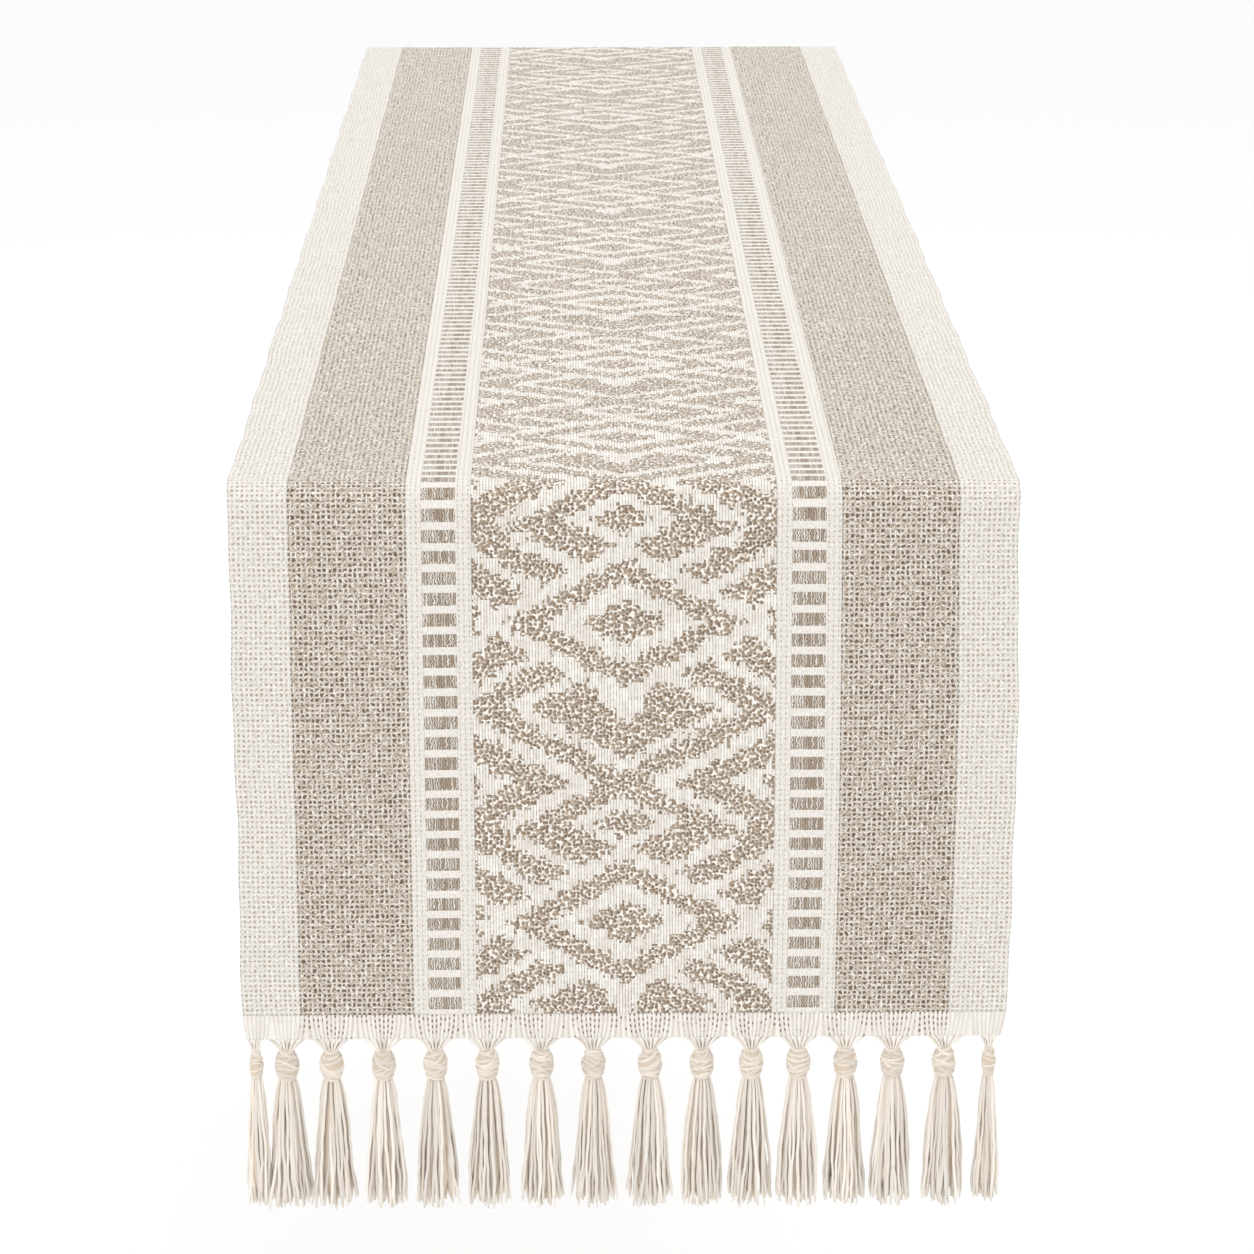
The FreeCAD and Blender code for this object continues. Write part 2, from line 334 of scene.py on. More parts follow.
def boucle(start, weave, yarn):
    """The taupe ground of the patterned panel: brown loops in a pale net of curls."""
    size = start.out("ShaderNodeVectorMath", "Vector", {"operation": "MULTIPLY"},
                     i0=weave, i1=(1.26, 2.28, 1.0))
    loops = start.node("ShaderNodeTexVoronoi", {"voronoi_dimensions": "2D", "feature": "F1"},
                       Vector=size, Scale=0.62, Randomness=0.85)
    near = Value(start.tree, loops.outputs["Distance"])
    tone = start.node("ShaderNodeSeparateColor", None, Color=Value(start.tree, loops.outputs["Color"]))
    tone = Value(start.tree, tone.outputs["Red"])
    grain = noise(start, size, 1.5, 3.0)
    curl = noise(start, size, 0.75, 1.0)
    near = near - (grain - 0.5) * 0.22
    base = mix(grain.smooth(0.3, 0.7), toned(yarn.taupe, 0.92), toned(yarn.taupe, 1.35))
    net = curl.smooth(0.40, 0.49)
    netted = mix(net * 0.95, base, toned(yarn.bright, 1.03))
    # Each loop is filled with a colour between taupe and the dark shaded yarn, at random: partly the yarn's
    # own tone and partly painted shade. Its middle is painted darker still: painted shade in the loop's
    # hollow.
    fill = mix(tone, toned(yarn.dark, 1.4), toned(yarn.taupe, 0.88))
    core = near.smooth(0.50, 0.39)
    cored = mix(core, netted, fill)
    hollow_shade = (near + tone * 0.20).smooth(0.27, 0.13)
    hollow_shaded = mix(hollow_shade * 0.85, cored, yarn.dark)
    return hollow_shaded, 1.0 - core + net * 0.5 + grain * 0.4


def floats(start, across, along, weave, yarn):
    """Cream warp floats side by side, with a shaded furrow between two."""
    furrow = abs(across.fraction() - 0.5).smooth(0.30, 0.47)
    tone = thread_tone(start, across, along * 0.34, 7.0)
    long = start.out("ShaderNodeCombineXYZ", "Vector", X=across.floor() + 0.5 + along * 0.1, Y=along * 0.9)
    dashes = noise(start, long, 1.3, 2.0)
    ridge = mix(tone, toned(yarn.cream, 1.01), yarn.bright)
    lined = mix(furrow * (dashes.smooth(0.40, 0.58) * 0.72 + 0.12), ridge, toned(yarn.taupe, 0.86))
    grooved = mix(furrow * dashes.smooth(0.57, 0.64) * 0.8, lined, toned(yarn.dark, 1.2))
    return grooved, 1.6 - furrow * 1.3 + dashes * 0.2


def paint_jacquard(yarn):
    def paint(start):
        weave, across, along = weave_axes(start)
        loose, _, _ = moved(start, weave, 0.5, 1.1)
        face = abs(attribute(start, "raised") - attribute(start, "under"))
        cream_colour, cream_height = floats(start, across, along, weave, yarn)
        taupe_colour, taupe_height = boucle(start, loose, yarn)
        return mix(face, taupe_colour, cream_colour), face * (cream_height - taupe_height) + taupe_height
    return paint


def paint_ladder(yarn):
    def paint(start):
        weave, straight, along = weave_axes(start)
        raised = attribute(start, "raised")
        rail = attribute(start, "rail")
        cell = (along * 0.25 + 0.4).floor()
        place = start.out("ShaderNodeCombineXYZ", "Vector", X=straight * 0.5 + cell * 3.7, Y=along * 1.5)
        wave = noise(start, place, 1.0, 1.0)
        across = straight + (wave - 0.5) * 1.5
        tone = thread_tone(start, across, cell, 11.0)
        fixed = thread_tone(start, straight, cell * 0.0, 5.0)
        furrow = abs(across.fraction() - 0.5).smooth(0.14, 0.40)
        grain = noise(start, weave, 1.7, 3.0)
        own = tone * 0.6 + fixed * 0.4
        thread = mix(own.smooth(0.12, 0.80), toned(yarn.taupe, 0.80), yarn.cream)
        # The furrows between the cells' threads are painted with the dark shaded yarn: painted shade.
        cell_colour = mix(furrow * (grain.smooth(0.30, 0.50) * 0.5 + 0.46), thread, toned(yarn.dark, 1.15))
        rung = mix(grain.smooth(0.30, 0.70), toned(yarn.cream, 0.98), toned(yarn.bright, 0.99))
        double = straight * 0.5
        rail_x = abs(double.fraction() - 0.5)
        rail_y = abs(along.fraction() - 0.5)
        distance = hypotenuse(0.5 - rail_x, 0.5 - rail_y)
        rail_tone = thread_tone(start, double + 0.5, along + 0.5, 9.0)
        # On the rails, the lines between threads are painted tan, and the dots where they cross, at the
        # holes, a darker tan: painted shade.
        rail_hole_shade = distance.smooth(0.25, 0.12) * (rail_tone * 0.8 + 0.1)
        lines = rail_x.smooth(0.36, 0.46).most(rail_y.smooth(0.40, 0.48) * 0.7)
        rail_base = mix(grain.smooth(0.3, 0.7), toned(yarn.cream, 0.93), toned(yarn.bright, 0.98))
        rail_lined = mix(lines * 0.30, rail_base, toned(yarn.taupe, 1.05))
        rail_colour = mix(rail_hole_shade * 0.85, rail_lined, toned(yarn.taupe, 0.80))
        return mix(rail, mix(raised, cell_colour, rung), rail_colour), 1.0 - furrow * 0.8 + grain * 0.3
    return paint


def paint_heading(yarn):
    def paint(start):
        weave, across, along = weave_axes(start)
        dyed = attribute(start, "dyed")
        furrow = abs(across.fraction() - 0.5).smooth(0.24, 0.44)
        gap = thread_tone(start, across + 0.5, along * 0.0, 6.0)
        beat = abs((along * 0.85 + gap * 0.6).fraction() - 0.5).smooth(0.30, 0.16)
        tone = thread_tone(start, across, along * 0.3, 4.0)
        patch = noise(start, weave, 0.16, 1.0)
        grain = noise(start, weave, 1.9, 3.0)
        core = mix(tone * 0.5 + grain * 0.5, toned(yarn.cream, 0.97), toned(yarn.bright, 0.99))
        # The furrows between the warp threads are painted tan, more strongly under the dyed bands: painted
        # shade.
        lines = furrow * (dyed * 0.30 + 0.16) * grain.smooth(0.25, 0.55)
        tan = mix(lines, core, toned(yarn.taupe, 0.95))
        cross = abs((along * 1.7).fraction() - 0.5).smooth(0.38, 0.48) * 0.14
        crossed = mix(cross, tan, toned(yarn.taupe, 1.05))
        spot = thread_tone(start, across + 0.5, along * 0.85 + gap * 0.6, 8.0)
        deep = (gap * 0.20 + patch + along * 0.060 + spot * 0.36).smooth(0.84, 1.04)
        # Under the dyed bands, some holes are painted with the dark shaded yarn: painted shade.
        return mix(furrow * beat * dyed * deep, crossed, yarn.dark), 1.0 - furrow
    return paint


def paint_strands(colour, shade):
    def paint(start):
        tone = attribute(start, "tone")
        point = start.out("ShaderNodeTexCoord", "Object")
        fibre = start.out("ShaderNodeTexNoise", "Fac", Vector=point, Scale=420.0, Detail=3.0)
        depth = attribute(start, "depth")
        lit = mix(tone * 0.8 + fibre * 0.3, toned(colour, 0.82), toned(colour, 1.14))
        return mix(depth, lit, shade), fibre
    return paint


# ---- the cloth -----------------------------------------------------------------------------------------


def drape(across, along, lift, wobble):
    """Where the cloth lies. along runs from -HALF_LENGTH to HALF_LENGTH, and lift is above its underside."""
    side = np.sign(along)
    far = np.abs(along)
    angle = np.clip((far - HALF_TABLE) / TURN_RADIUS, 0, math.pi / 2)
    radius = EDGE_RADIUS + lift
    hanging = np.maximum(far - HALF_TABLE - TURN, 0)
    share = hanging / (HALF_LENGTH - HALF_TABLE - TURN)
    swell = np.sin(math.pi * share ** 0.8)
    x = across / MM
    # Three waves across the hanging end, of lengths that never fall in step.
    wave = 0.55 * np.sin(x / 31 + 0.6 * side)
    wave = wave + 0.3 * np.sin(x / 17 + 2.1 + share)
    wave = wave + 0.25 * np.sin(x / 66 - 1.2)
    out = wobble * swell * wave * np.where(hanging > 0, 1.0, 0.0)
    y = np.minimum(far, HALF_TABLE) + radius * np.sin(angle) + out
    # The cloth on the table swells a little, and lies down again before the fold.
    lies_down = np.clip((HALF_TABLE - far) / 0.05, 0, 1)
    ripple = 0.00022 * (1 + np.sin(along / MM / 83 + x / 140)) * lies_down
    z = radius * np.cos(angle) - EDGE_RADIUS - hanging + ripple
    # One side edge bellies out sideways, and both selvedges run a little unevenly.
    deepest = np.where(side < 0, 0.0022, 0.0009)
    belly = deepest * np.sin(math.pi * share ** 1.2) * np.clip(x / HALF_WIDTH, 0, 1) ** 2
    selvedge = 0.00035 * np.sin(along / MM / 19) + 0.00025 * np.sin(along / MM / 7.3 + np.sign(x))
    sway = belly + np.sign(x) * selvedge * np.clip(np.abs(x) / HALF_WIDTH, 0, 1) ** 6
    return np.stack([across + sway, side * y, z], axis=-1)


def cream_floats(across, crossing, weave):
    """True where the cream warp floats on the face of the patterned panel.

    across is in millimetres from the panel's middle, and crossing counts from the cloth's end. Each line of
    the pattern is a condition on ax and the distances below, all in millimetres.
    """
    cell = 2 * PICK / MM
    repeat = weave.repeat * cell
    cross = 0.53 * repeat  # from a big diamond's middle down to where the arms cross
    ax = np.abs(across)
    down = (-(crossing - weave.first_diamond) * cell) % repeat
    upper = down < cross
    near = np.where(upper, down, repeat - down)
    arms = np.abs(down - cross)
    ring = ax / 1.82 + near

    def line(value, middle, half=3.0):
        return np.abs(value - middle) < half

    found = (ring > 10.2) & (ring < 18.4)
    found |= (ring > 28.4) & (ring < 35.4)
    found |= (ax > 33) & line(near, 13.4 + 0.58 * (ax - 34))
    found |= (ax > 52) & line(near, 1 + 0.95 * (ax - 53), 3.4)
    found |= (ax > 13) & (upper | (ax < 52)) & line(arms, 0.53 * (ax - 15), 3.4)
    found |= (arms < 0.5 * (ax - 45)) & (arms > 0.9 * (ax - 59))
    found |= (ax > 15) & (ax < 48) & line(near, 24 + 0.5 * (ax - 19))
    found |= upper & (ax < 47) & line(arms, 7.6 + 0.56 * ax, 2.6)
    found |= upper & (ax < 9 - 0.5 * (near - 32)) & (near > 28) & (near < 43)
    eye = ax / 2 + np.abs(arms - 18)
    found |= ~upper & (eye > 6.8) & (eye < 12.4)
    return found


def bake_map(shape, under_rows, under_columns, walls, layout):
    """A place in the bake's square for every corner of a cloth mesh.

    From left to right: the upper face and the underside, each in strips side by side, then the walls.
    """
    rows, columns = shape
    blocks = []
    for picks, lines, left, width, turned in (
        (np.arange(rows), np.arange(columns), 0.0, 0.86, False),
        (under_rows, under_columns, 0.865, 0.10, True),
    ):
        strip = np.minimum(picks[:-1] * layout // (rows - 1), layout - 1)
        first = np.array([picks[:-1][strip == s].min() for s in range(layout)])[strip]
        last = np.array([picks[1:][strip == s].max() for s in range(layout)])[strip]
        share = np.interp(lines, (0, columns - 1), (0.0, 1.0))
        a = left + (strip[:, None] + share[None, :-1] * STRIP_FILL) * width / layout
        b = left + (strip[:, None] + share[None, 1:] * STRIP_FILL) * width / layout
        lo = np.broadcast_to(((picks[:-1] - first) / (last - first))[:, None], a.shape)
        hi = np.broadcast_to(((picks[1:] - first) / (last - first))[:, None], a.shape)
        corners = [np.stack([a, lo], -1), np.stack([b, lo], -1), np.stack([b, hi], -1), np.stack([a, hi], -1)]
        if turned:
            corners = corners[::-1]
        blocks.append(np.stack(corners, axis=2).reshape(-1, 2) * (1, 0.996) + (0.001, 0.002))
    pick_of = np.concatenate([np.repeat(np.arange(rows), columns), np.repeat(under_rows, len(under_columns))])
    line_of = np.concatenate([np.tile(np.arange(columns), rows), np.tile(under_columns, len(under_rows))])
    for ring, side in walls:
        rise = np.where(ring >= rows * columns, 0.0, 1.0)
        if side < 2:
            place = 0.968 + 0.012 * side + 0.010 * rise, pick_of[ring] / (rows - 1)
        else:
            place = 0.992 + 0.006 * rise, (side - 2 + line_of[ring] / (columns - 1) * 0.98) / 2
        blocks.append(np.stack(place, -1))
    return np.concatenate(blocks)


def grid_shell(name, across, along, tops, threads, crossings, skip, layout, wobble):
    """A closed mesh of cloth: a fine upper face, a coarser underside and walls all round.

    across and along are the lines of the upper face, tops its heights, skip how many lines the underside
    leaves out each way, and layout how many strips side by side the bake's map lays it out in.
    """
    rows, columns = tops.shape
    under_rows = np.unique(np.append(np.arange(0, rows - 1, skip[1]), rows - 1))
    under_columns = np.unique(np.append(np.arange(0, columns - 1, skip[0]), columns - 1))
    grid_along, grid_across = np.meshgrid(along, across, indexing="ij")
    below = np.ix_(under_rows, under_columns)
    flat = np.zeros((len(under_rows), len(under_columns)))
    top = drape(grid_across, grid_along, tops, wobble).reshape(-1, 3)
    bottom = drape(grid_across[below], grid_along[below], flat, wobble).reshape(-1, 3)
    high = np.arange(rows * columns).reshape(rows, columns)
    low = np.arange(len(bottom)).reshape(len(under_rows), len(under_columns)) + rows * columns

    def quads(ids, turned):
        corners = [ids[:-1, :-1], ids[:-1, 1:], ids[1:, 1:], ids[1:, :-1]]
        return np.stack(corners[::-1] if turned else corners, axis=-1).reshape(-1, 4)

    # A wall is one face for each face of the underside beside it. Sides 0 and 1 are the cloth's own edges,
    # and 2 and 3 the cuts across it.
    walls = []
    for edge, side, turned in ((0, 0, True), (-1, 1, False)):
        for n in range(len(under_rows) - 1):
            run = high[under_rows[n]:under_rows[n + 1] + 1, edge]
            ring = np.concatenate([[low[n, edge]], run, [low[n + 1, edge]]])
            walls.append((ring[::-1] if turned else ring, side))
    for edge, side, turned in ((0, 2, False), (-1, 3, True)):
        for n in range(len(under_columns) - 1):
            run = high[edge, under_columns[n]:under_columns[n + 1] + 1]
            ring = np.concatenate([[low[edge, n]], run, [low[edge, n + 1]]])
            walls.append((ring[::-1] if turned else ring, side))
    rings = [ring for ring, _ in walls]
    upper, lower = quads(high, False), quads(low, True)
    counts = np.concatenate([np.full(len(upper) + len(lower), 4), [len(ring) for ring in rings]])
    loops = np.concatenate([upper.ravel(), lower.ravel()] + rings)
    mesh = mesh_from(name, np.concatenate([top, bottom]), loops, counts)

    uv = np.stack(np.meshgrid(threads, crossings), axis=-1)
    uv = np.concatenate([uv.reshape(-1, 2), uv[below].reshape(-1, 2)])[loops]
    mesh.uv_layers.new(name="Weave").data.foreach_set("uv", uv.astype(np.float32).ravel())
    bake = bake_map(tops.shape, under_rows, under_columns, walls, layout)
    mesh.uv_layers.new(name="OFBake").data.foreach_set("uv", bake.astype(np.float32).ravel())
    return mesh, (under_rows, under_columns), len(walls)


def mesh_from(name, points, loops, counts):
    """A smooth mesh from its points, the points round each face one after another and their counts."""
    mesh = bpy.data.meshes.new(name)
    mesh.vertices.add(len(points))
    mesh.vertices.foreach_set("co", np.asarray(points, np.float32).ravel())
    mesh.loops.add(len(loops))
    mesh.loops.foreach_set("vertex_index", np.asarray(loops, np.int32))
    mesh.polygons.add(len(counts))
    starts = np.concatenate([[0], np.cumsum(counts)[:-1]]).astype(np.int32)
    mesh.polygons.foreach_set("loop_start", starts)
    mesh.polygons.foreach_set("use_smooth", np.ones(len(counts), bool))
    mesh.update(calc_edges=True)
    mesh.validate()
    return mesh


def set_faces(mesh, name, values):
    layer = mesh.attributes.new(name, "FLOAT", "FACE")
    layer.data.foreach_set("value", np.asarray(values, np.float32))


def add_piece(mesh, material):
    piece = bpy.data.objects.new(mesh.name, mesh)
    bpy.context.scene.collection.objects.link(piece)
    mesh.materials.append(material)
    return piece


def stretches():
    """(name, picks) of the three lengths that each band is woven in."""
    yield "front", np.arange(HEADING_PICKS, END_PICKS + 1)
    yield "middle", np.arange(END_PICKS, PICKS - END_PICKS + 1)
    yield "back", np.arange(PICKS - END_PICKS, PICKS - HEADING_PICKS + 1)


def coarse_on_table(picks):
    """Leaves out every second line where the cloth lies on the table."""
    from_end = np.minimum(picks, PICKS - picks)
    return picks[(from_end <= TABLE_FROM) | (picks % 2 == 0)]


def jacquard_heights(picks, lines, weave, rng):
    """Heights over the patterned panel, and which faces show cream floats."""
    threads = (lines - 1) // 2
    pitch = (TABLE[1].x - TABLE[0].x) / MM / threads
    middles = (np.arange(threads) + 0.5) * pitch + TABLE[0].x / MM
    cells = np.arange(picks[0] // 2, picks[-1] // 2 + 1)
    jog = rng.normal(0, 0.9, (len(cells), 1)) + rng.normal(0, 0.8, (len(cells), threads))
    shove = rng.normal(0, 0.22, (1, threads)) + rng.normal(0, 0.28, (len(cells), threads))
    cream = cream_floats(middles[None, :] + jog, cells[:, None] + 0.5 + shove, weave)
    level = np.where(cream, weave.ground_height + weave.float_height, weave.ground_height)
    level = level + rng.normal(0, 1, level.shape) * np.where(cream, 0.00002, 0.00011)
    at = np.clip(picks // 2 - cells[0], 0, len(cells) - 1)
    before = np.clip((picks - 1) // 2 - cells[0], 0, len(cells) - 1)
    crest = np.minimum(level[at], level[before]) + rng.normal(0, 0.00003, (len(picks), threads))
    tops = np.empty((len(picks), lines))
    tops[:, 1::2] = crest
    padded = np.pad(crest, ((0, 0), (1, 1)), mode="edge")
    tops[:, 0::2] = np.minimum(padded[:, :-1], padded[:, 1:]) - 0.00024
    return tops, cream[before[1:]].repeat(2, axis=1)


def plain_heights(picks, lines, weave, rng, depth):
    """Heights over plain weave: holes at the corners of the lattice and crossings between them."""
    odd_across = (np.arange(lines) % 2)[None, :]
    odd_along = (picks % 2)[:, None]
    hole = (1 - odd_across) * (1 - odd_along)
    crossing = odd_across * odd_along
    jitter = rng.normal(0, 0.00006, (len(picks), lines))
    slub = np.repeat(rng.normal(0, 0.00005, (len(picks), 1)), lines, axis=1)
    return weave.ground_height + 0.0001 + 0.00008 * crossing - depth * hole + jitter + slub


def ladder_heights(picks, lines, weave, rng):
    """Heights over a ladder band, and its rungs and rails by face."""
    rail_lines = round((lines - 1) * RAIL_SHARE)
    columns = np.arange(lines)
    in_rail = (columns <= rail_lines) | (columns >= lines - 1 - rail_lines)
    phase = picks % weave.rung_pitch
    rung_line = (phase >= 1) & (phase <= 4)
    rib = np.where(columns % 2 == 0, -0.00014, 0.00004)
    rung = np.where((phase >= 2) & (phase <= 3), 0.00046, 0.00018) * rung_line
    tops = weave.ground_height + rib[None, :] + rung[:, None] + rng.normal(0, 0.00003, (len(picks), lines))
    rails = weave.ground_height + 0.00018 + np.where(columns % 2 == 0, -0.00010, 0.00005)
    tops[:, in_rail] = rails[in_rail] + rng.normal(0, 0.00003, (len(picks), in_rail.sum()))
    face = (picks[:-1] + picks[1:]) / 2 % weave.rung_pitch
    raised = np.repeat(((face > 1) & (face < 4))[:, None], lines - 1, axis=1)
    middles = columns[:-1] + 0.5
    rail_face = (middles < rail_lines) | (middles > lines - 1 - rail_lines)
    return tops, raised, np.repeat(rail_face[None, :], len(picks) - 1, axis=0)


def weave_band(name, ends, kind, material, weave, rng):
    """Weaves one band in its three lengths."""
    low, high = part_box(f"{name}_top")
    skip = {"jacquard": (4, 4), "ladder": (16, 8)}.get(kind, (8, 8))
    layout = {"jacquard": 2, "ladder": 5, "taupe": 4, "cream": 5}[kind]
    lines = ends + 1
    across = np.linspace(low.x, high.x, lines)
    threads = np.linspace(0, ends / 2, lines)
    for part, picks in stretches():
        if kind == "jacquard":
            picks = coarse_on_table(picks)
        along = picks * PICK - HALF_LENGTH
        faces = {}
        if kind == "jacquard":
            tops, faces["raised"] = jacquard_heights(picks, lines, weave, rng)
        elif kind == "ladder":
            tops, faces["raised"], faces["rail"] = ladder_heights(picks, lines, weave, rng)
        else:
            depth = weave.hole_depth * (1.0 if kind == "taupe" else 0.6)
            tops = plain_heights(picks, lines, weave, rng, depth)
        mesh, under, walls = grid_shell(f"{name}_{part}_cloth", across, along, tops, threads, picks / 2, skip,
                                        layout, weave.wobble)
        under_faces = (len(under[0]) - 1) * (len(under[1]) - 1)
        top_faces = (len(picks) - 1) * ends
        set_faces(mesh, "under", np.repeat([0.0, 1.0, 0.0], [top_faces, under_faces, walls]))
        for key, values in faces.items():
            sampled = values[np.ix_(under[0][:-1], under[1][:-1])]
            on_walls = np.full(walls, key == "rail")
            set_faces(mesh, key, np.concatenate([values.ravel(), sampled.ravel(), on_walls]))
        piece = add_piece(mesh, material)
        if part == "middle":
            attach(piece, "top")
            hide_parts(f"{name}_top")
        else:
            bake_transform(piece)
            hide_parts(f"{name}_{part}", *([f"{part}_fold"] if kind == "jacquard" else []))
        along[-1] - along[0]


# ---- headings and tassels ------------------------------------------------------------------------------

HEADING_LINES = 521
HEADING_ROWS = 15
LEAN_REACH = 0.0115  # from a tassel's middle to where its pull on the heading ends
LEAN = 0.26

# The wound head of a tassel: how far it starts under the heading, and its height.
HEAD_DROP = 0.0050
HEAD_HEIGHT = 0.0136
TUCK = 0.0016  # how far the skirt's yarns start inside the head
FLARE = 0.52
GOLDEN_ANGLE = 2.39996

# What sets a full tassel and a thin one apart. Cords, windings, strands and skirt are shares, top, middle and
# foot the half thickness of the head, and the rest sizes in metres.
FULL = {"cords": 1.0, "windings": 1.0, "strands": 1.0, "skirt": 1.10, "slim": 1.0, "spread": 0.0091,
        "top": 0.0021, "middle": 0.0050, "foot": 0.0028, "winding": 0.00072}
THIN = {"cords": 0.6, "windings": 0.8, "strands": 0.45, "skirt": 1.38, "slim": 0.5, "spread": 0.0039,
        "top": 0.0013, "middle": 0.0029, "foot": 0.0016, "winding": 0.00050}


def tassel_places():
    """(number, middle across, thin) of each tassel of the front row, from left to right."""
    for number in range(1, 17):
        low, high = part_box(f"front_tassel_{number:02d}")
        yield number, (low.x + high.x) / 2, number in (1, 16)


def weave_heading(side, material, weave, rng):
    """The loosely woven heading, whose warp leans towards the tassel that it is tied into."""
    low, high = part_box(f"{side}_heading")
    picks = np.linspace(0, HEADING_PICKS, HEADING_ROWS)
    if side == "back":
        picks = PICKS - picks[::-1]
    from_end = np.minimum(picks, PICKS - picks)
    along = picks * PICK - HALF_LENGTH
    across = np.linspace(low.x, high.x, HEADING_LINES)
    middles = np.array([x for _, x, _ in tassel_places()])
    offset = across - middles[np.abs(across[:, None] - middles[None, :]).argmin(axis=1)]
    lean = offset * (1 - np.clip(np.abs(offset) / LEAN_REACH, 0, 1) ** 3)
    shift = -LEAN * (1 - from_end / HEADING_PICKS)[:, None] ** 2 * lean[None, :]
    ridge = np.where(np.arange(HEADING_LINES) % 3 == 0, -0.00016, 0.00016)
    tops = np.repeat(weave.ground_height + 0.00015 + ridge[None, :], len(picks), axis=0)
    tops = tops + rng.normal(0, 0.00004, tops.shape)
    threads = np.arange(HEADING_LINES) / 3
    mesh, under, walls = grid_shell(f"{side}_heading_weave", across, along, tops, threads, from_end / 2,
                                    (4, 7), 1, weave.wobble)
    points = np.empty(len(mesh.vertices) * 3)
    mesh.vertices.foreach_get("co", points)
    points = points.reshape(-1, 3)
    top = HEADING_ROWS * HEADING_LINES
    points[:top, 0] += shift.ravel()
    points[top:, 0] += shift[np.ix_(*under)].ravel()
    mesh.vertices.foreach_set("co", points.astype(np.float32).ravel())
    mesh.update()
    centres = (across[:-1] + across[1:]) / 2
    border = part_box("taupe_band_right_top")[1].x
    dyed = np.repeat(((np.abs(centres) < border) * 1.0)[None, :], len(picks) - 1, axis=0)
    sampled = dyed[np.ix_(under[0][:-1], under[1][:-1])]
    set_faces(mesh, "dyed", np.concatenate([dyed.ravel(), sampled.ravel(), np.zeros(walls)]))
    piece = add_piece(mesh, material)
    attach(piece, f"{side}_drop")
    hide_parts(f"{side}_heading")
    HEADING_PICKS * PICK


def tube(path, radii, sides, turn=0.0):
    """Points and faces of a closed yarn along a path, a row of points, with a radius at each."""
    path = np.asarray(path, float)
    forward = np.gradient(path, axis=0)
    forward /= np.linalg.norm(forward, axis=1, keepdims=True)
    aside = np.cross(forward, (0.0, 0.97, 0.24))
    aside /= np.linalg.norm(aside, axis=1, keepdims=True)
    third = np.cross(forward, aside)
    angles = turn + np.arange(sides) * 2 * math.pi / sides
    cosine, sine = np.cos(angles)[None, :, None], np.sin(angles)[None, :, None]
    ring = aside[:, None, :] * cosine + third[:, None, :] * sine
    points = (path[:, None, :] + ring * np.asarray(radii)[:, None, None]).reshape(-1, 3)
    count = len(path)
    base = np.arange((count - 1) * sides).reshape(count - 1, sides)
    along = np.roll(base, -1, axis=1)
    faces = np.stack([base, along, along + sides, base + sides], axis=-1).reshape(-1, 4)
    return points, faces, (np.arange(sides)[::-1], np.arange(sides) + (count - 1) * sides)


class Bundle:
    """Gathers yarns into one mesh, with a tone and a depth of shade for each face."""

    def __init__(self):
        self.points, self.loops, self.counts = [], [], []
        self.tones, self.depths, self.slots = [], [], []
        self.total = 0

    def add(self, path, radii, sides, tone, depth, slot=0, turn=0.0):
        points, faces, caps = tube(path, radii, sides, turn)
        self.points.append(points)
        self.loops += [faces.ravel() + self.total, caps[0] + self.total, caps[1] + self.total]
        self.counts += [np.full(len(faces), 4), np.array([sides, sides])]
        depths = np.repeat(np.broadcast_to(depth, len(path))[:-1], sides)
        self.depths += [depths, depths[[0, -1]]]
        self.tones.append(np.full(len(faces) + 2, tone))
        self.slots.append(np.full(len(faces) + 2, slot))
        self.total += len(points)

    def build(self, name, materials):
        mesh = mesh_from(name, *map(np.concatenate, (self.points, self.loops, self.counts)))
        set_faces(mesh, "tone", np.concatenate(self.tones))
        set_faces(mesh, "depth", np.concatenate(self.depths))
        piece = add_piece(mesh, materials[0])
        for material in materials[1:]:
            mesh.materials.append(material)
        mesh.polygons.foreach_set("material_index", np.concatenate(self.slots).astype(np.int32))
        return piece


def gather_cords(bundle, centre, top, head_top, size, count, rng):
    """Warp cords that run together from the heading into the head, by turns before and behind."""
    x, y = centre
    t = np.linspace(0, 1, 9)
    for n in range(count):
        share = (n + 0.5) / count * 2 - 1
        start = share * size["spread"] + rng.normal(0, 0.0002)
        end = share * 0.0022 * size["slim"]
        front = 0.0007 * (1 if n % 2 else -1)
        path = np.stack([x + end + (start - end) * (1 - t) ** 1.25,
                         y + front * (0.3 + 1.6 * t) * size["slim"],
                         top + 0.0004 - (top - head_top + 0.0014) * t ** 1.12], -1)
        radii = np.interp(t, (0, 0.25, 1), (0.00036, 0.00046, 0.00050))
        # The cords are painted with more shade the nearer they come to the head.
        bundle.add(path, radii, 6, rng.random(), 0.02 + 0.22 * t)


def girth(size, down):
    """Half the head's thickness, where down is 0 at its top and 1 at its foot."""
    down = np.clip(down, 0, 1)
    belly = size["middle"] - (size["top"] + size["foot"]) / 2
    return size["top"] + (size["foot"] - size["top"]) * down + belly * np.sin(math.pi * down ** 0.9) ** 0.75


